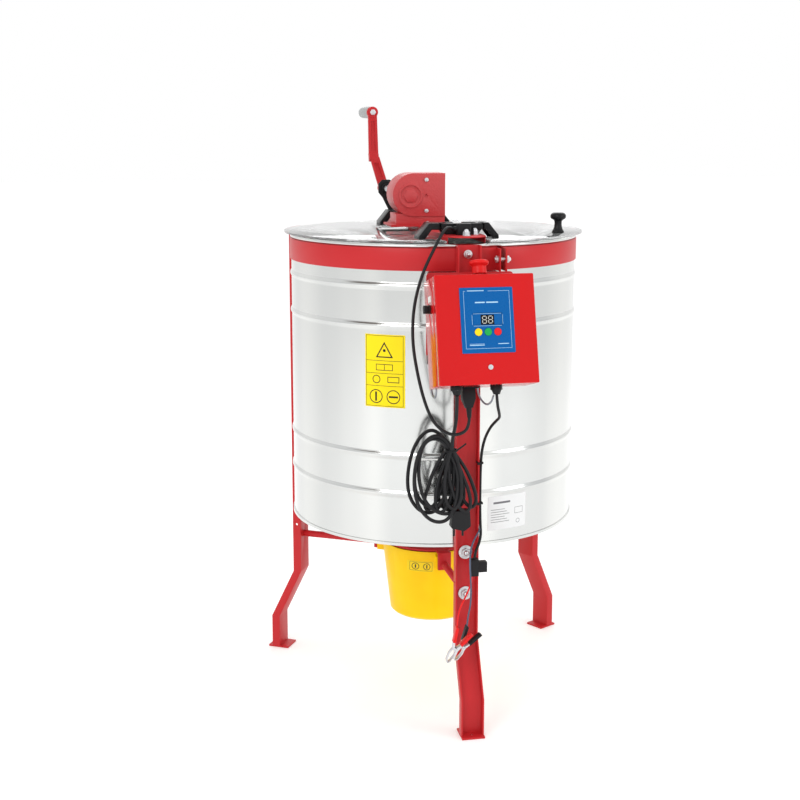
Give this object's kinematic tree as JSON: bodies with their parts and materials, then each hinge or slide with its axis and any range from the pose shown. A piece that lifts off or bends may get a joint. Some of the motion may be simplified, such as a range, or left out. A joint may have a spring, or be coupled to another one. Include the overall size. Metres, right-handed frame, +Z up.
{
  "type": "honey extractor",
  "caption": "Motor-driven honey extractor: steel drum on channel legs, caged basket inside, hinged clear lids, hand crank, honey gate and tilted control box.",
  "frame": {"origin": "on the drum's vertical axis at floor level", "axes": "+Z up along the drum and basket axis; -Y towards the front leg and control box; cross beam along Y; crank grip points to +Y"},
  "size_m": [0.7508, 1.0011, 1.34],
  "materials": {
    "stainless": "polished",
    "red_paint": "satin",
    "box_red": "gloss",
    "clear_plastic": "gloss",
    "black_plastic": "satin",
    "zinc": "satin",
    "steel": "satin",
    "cast_red": "satin",
    "motor_grey": "satin",
    "yellow_plastic": "satin",
    "red_plastic": "gloss",
    "green_plastic": "gloss",
    "blue_panel": "satin",
    "board": "satin",
    "grip_grey": "satin",
    "cord_black": "matte",
    "wire_red": "satin",
    "wire_grey": "satin",
    "belt": "matte",
    "label": "satin",
    "gear_steel": "satin",
    "brass": "satin"
  },
  "bodies": {
    "stand": {"drum_shell": "stainless", "drum_floor": "stainless", "hoop_band": "red_paint", "leg_front": "red_paint", "leg_rear_left": "red_paint", "leg_rear_right": "red_paint", "frame_bolts": "zinc", "under_frame": "red_paint", "drive_motor": "motor_grey", "motor_cover": "yellow_plastic", "drive_belt": "belt", "cross_beam": "red_paint", "gearbox_housing": "cast_red", "gearbox_cover": "cast_red", "bearing_blocks": "black_plastic", "honey_gate_spout": "stainless", "lid_sensor": "black_plastic", "lid_sensor_cable": "cord_black", "lid_sensor_plug": "black_plastic", "box_case": "box_red", "box_cover": "box_red", "box_bracket": "red_paint", "panel_plate": "blue_panel", "circuit_board": "board", "box_fittings": "black_plastic", "cord_hooks": "steel", "mains_cord": "cord_black", "mains_plug": "black_plastic", "battery_lead": "cord_black", "blade_fuse_holder": "black_plastic", "battery_wire_red": "wire_red", "battery_wire_black": "wire_grey", "clip_red_lower": "red_plastic", "clip_black_lower": "black_plastic", "cable_ties": "black_plastic", "labels": "label", "hinge_bases": "black_plastic"},
    "basket": {"basket_shaft": "stainless", "basket_frame": "stainless", "basket_screens": "stainless", "basket_gear": "gear_steel", "basket_pulley": "black_plastic"},
    "crank": {"crank_shaft": "steel", "crank_gear": "gear_steel", "crank_arm": "red_paint"},
    "crank_grip": {"crank_grip": "grip_grey"},
    "motor_pulley": {"motor_pulley": "steel"},
    "lid_left": {"lid_left": "clear_plastic", "hinge_leaves_left": "black_plastic"},
    "lid_right": {"lid_right": "clear_plastic", "lid_knob": "black_plastic", "hinge_leaves_right": "black_plastic"},
    "e_stop_head": {"e_stop_head": "red_plastic"},
    "key_mode": {"key_mode": "yellow_plastic"},
    "key_start": {"key_start": "green_plastic"},
    "key_stop": {"key_stop": "red_plastic"},
    "fuse_cap": {"fuse_cap": "black_plastic"},
    "gate_flap": {"gate_flap": "stainless"},
    "clip_red_upper": {"clip_red_upper": "red_plastic"},
    "clip_black_upper": {"clip_black_upper": "black_plastic"}
  },
  "joints": [
    {"name": "basket_spin", "type": "hinge", "parent": "stand", "child": "basket", "pos_m": [0, 0, 0.7], "axis": [0, 0, 1], "continuous": true},
    {"name": "crank_turn", "type": "hinge", "parent": "stand", "child": "crank", "pos_m": [-0.048, 0.2, 1.136], "axis": [0, 1, 0], "continuous": true},
    {"name": "grip_spin", "type": "hinge", "parent": "crank", "child": "crank_grip", "pos_m": [-0.075, 0.43, 1.325], "axis": [0, 1, 0], "continuous": true},
    {"name": "motor_spin", "type": "hinge", "parent": "stand", "child": "motor_pulley", "pos_m": [0, 0.066, 0.33], "axis": [0, 0, 1], "continuous": true},
    {"name": "left_lid_hinge", "type": "hinge", "parent": "stand", "child": "lid_left", "pos_m": [-0.0405, 0, 1.083], "axis": [0, 1, 0], "range_deg": [0, 50]},
    {"name": "right_lid_hinge", "type": "hinge", "parent": "stand", "child": "lid_right", "pos_m": [0.0405, 0, 1.083], "axis": [0, -1, 0], "range_deg": [0, 93]},
    {"name": "e_stop_press", "type": "slide", "parent": "stand", "child": "e_stop_head", "axis": [0, -0.2588, -0.9659], "range_m": [0, 0.004], "stiffness_N_per_m": 1500},
    {"name": "key_mode_press", "type": "slide", "parent": "stand", "child": "key_mode", "axis": [0, 0.9659, -0.2588], "range_m": [0, 0.0008], "stiffness_N_per_m": 2000},
    {"name": "key_start_press", "type": "slide", "parent": "stand", "child": "key_start", "axis": [0, 0.9659, -0.2588], "range_m": [0, 0.0008], "stiffness_N_per_m": 2000},
    {"name": "key_stop_press", "type": "slide", "parent": "stand", "child": "key_stop", "axis": [0, 0.9659, -0.2588], "range_m": [0, 0.0008], "stiffness_N_per_m": 2000},
    {"name": "fuse_cap_turn", "type": "hinge", "parent": "stand", "child": "fuse_cap", "pos_m": [-0.098, -0.41235, 0.92691], "axis": [-1, 0, 0], "range_deg": [0, 90]},
    {"name": "gate_swing", "type": "hinge", "parent": "stand", "child": "gate_flap", "pos_m": [0.04, 0.362, 0.436], "axis": [0, 1, 0], "range_deg": [0, 110]},
    {"name": "clip_red_squeeze", "type": "hinge", "parent": "stand", "child": "clip_red_upper", "pos_m": [-0.04217, -0.412, 0.20558], "axis": [0, -1, 0], "range_deg": [0, 14], "stiffness_Nm_per_rad": 0.6},
    {"name": "clip_black_squeeze", "type": "hinge", "parent": "stand", "child": "clip_black_upper", "pos_m": [-0.01904, -0.391, 0.19935], "axis": [0, -1, 0], "range_deg": [0, 14], "stiffness_Nm_per_rad": 0.6}
  ],
  "couplings": [
    {"joint": "crank_turn", "follows": "basket_spin", "ratio": 0.33333},
    {"joint": "motor_spin", "follows": "basket_spin", "ratio": 3.5}
  ]
}
